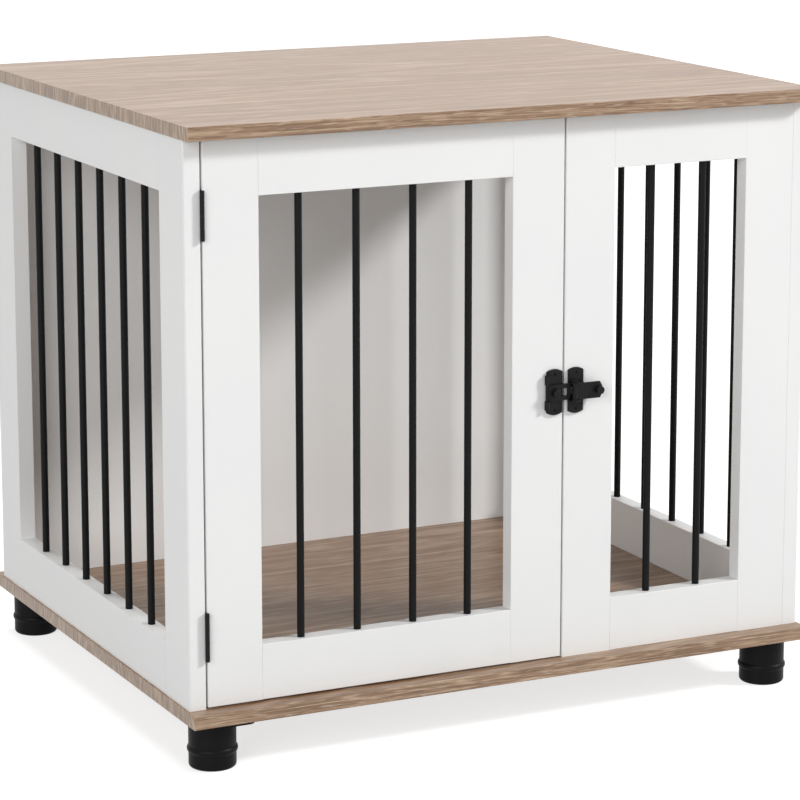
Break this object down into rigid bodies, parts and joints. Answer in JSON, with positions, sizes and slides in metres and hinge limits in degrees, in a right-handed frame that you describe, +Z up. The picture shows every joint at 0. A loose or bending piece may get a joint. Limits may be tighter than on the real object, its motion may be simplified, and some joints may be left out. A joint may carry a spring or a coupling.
{
  "type": "dog crate end table",
  "caption": "End table that houses a dog crate: oak-look top and base boards, white barred side frames, a barred front door on butt hinges with a flip latch, and round black legs.",
  "frame": {"origin": "on the floor under the middle of the two boards", "axes": "+X to the right seen from the front, +Y from the front to the back, +Z up; the door and the fixed panel face -Y"},
  "size_m": [0.6, 0.5, 0.5455],
  "materials": {
    "oak_laminate": "matt oak-look laminate with a fine grain along X",
    "oak_edge_band": "matt oak-look edge band",
    "white_lacquer": "satin white lacquer over fibreboard",
    "black_rod": "satin black powder coat on steel rod",
    "black_hardware": "satin black coated hinge and latch metal",
    "black_plastic": "black moulded plastic with a fine texture",
    "zinc_steel": "zinc-plated steel",
    "zinc_casting": "raw zinc casting",
    "beech_dowel": "raw beech"
  },
  "bodies": {
    "frame": {"back_dowels": "beech_dowel", "back_panel": "white_lacquer", "base_board": "oak_laminate", "base_edge_bands": "oak_edge_band", "base_screws": "zinc_steel", "cam_locks": "zinc_casting", "cam_studs": "zinc_steel", "frame_dowels": "beech_dowel", "hinge_frame_screws": "black_hardware", "latch_base_plate": "black_hardware", "latch_base_screws": "black_hardware", "latch_lever_pin": "black_hardware", "left_bottom_rail": "white_lacquer", "left_front_stile": "white_lacquer", "left_rear_stile": "white_lacquer", "left_rods": "black_rod", "left_top_rail": "white_lacquer", "leg_bolts": "zinc_steel", "leg_front_left": "black_plastic", "leg_front_right": "black_plastic", "leg_rear_left": "black_plastic", "leg_rear_right": "black_plastic", "leg_screws": "zinc_steel", "lower_hinge_frame_leaf": "black_hardware", "lower_hinge_pin": "black_hardware", "panel_bottom_rail": "white_lacquer", "panel_dowels": "beech_dowel", "panel_left_stile": "white_lacquer", "panel_right_stile": "white_lacquer", "panel_rods": "black_rod", "panel_top_rail": "white_lacquer", "right_bottom_rail": "white_lacquer", "right_front_stile": "white_lacquer", "right_rear_stile": "white_lacquer", "right_rods": "black_rod", "right_top_rail": "white_lacquer", "top_board": "oak_laminate", "top_edge_bands": "oak_edge_band", "upper_hinge_frame_leaf": "black_hardware", "upper_hinge_pin": "black_hardware"},
    "door": {"door_bottom_rail": "white_lacquer", "door_dowels": "beech_dowel", "door_hinge_stile": "white_lacquer", "door_latch_stile": "white_lacquer", "door_rods": "black_rod", "door_top_rail": "white_lacquer", "hinge_door_screws": "black_hardware", "latch_loop_pin": "black_hardware", "latch_loop_plate": "black_hardware", "latch_loop_screws": "black_hardware", "lower_hinge_door_leaf": "black_hardware", "upper_hinge_door_leaf": "black_hardware"},
    "loop": {"latch_loop": "black_hardware", "latch_loop_knob": "black_hardware"},
    "lever": {"latch_lever": "black_hardware", "latch_lever_knob": "black_hardware"}
  },
  "joints": [
    {"name": "door_swing", "type": "hinge", "parent": "frame", "child": "door", "pos_m": [-0.282, -0.2371, 0.294], "axis": [0, 0, -1], "range_deg": [0, 170]},
    {"name": "loop_swing", "type": "hinge", "parent": "door", "child": "loop", "pos_m": [0.0367, -0.2375, 0.294], "axis": [0, 0, -1], "range_deg": [0, 110]},
    {"name": "lever_flip", "type": "hinge", "parent": "frame", "child": "lever", "pos_m": [0.0614, -0.2423, 0.294], "axis": [0, 0, -1], "range_deg": [0, 110]}
  ]
}
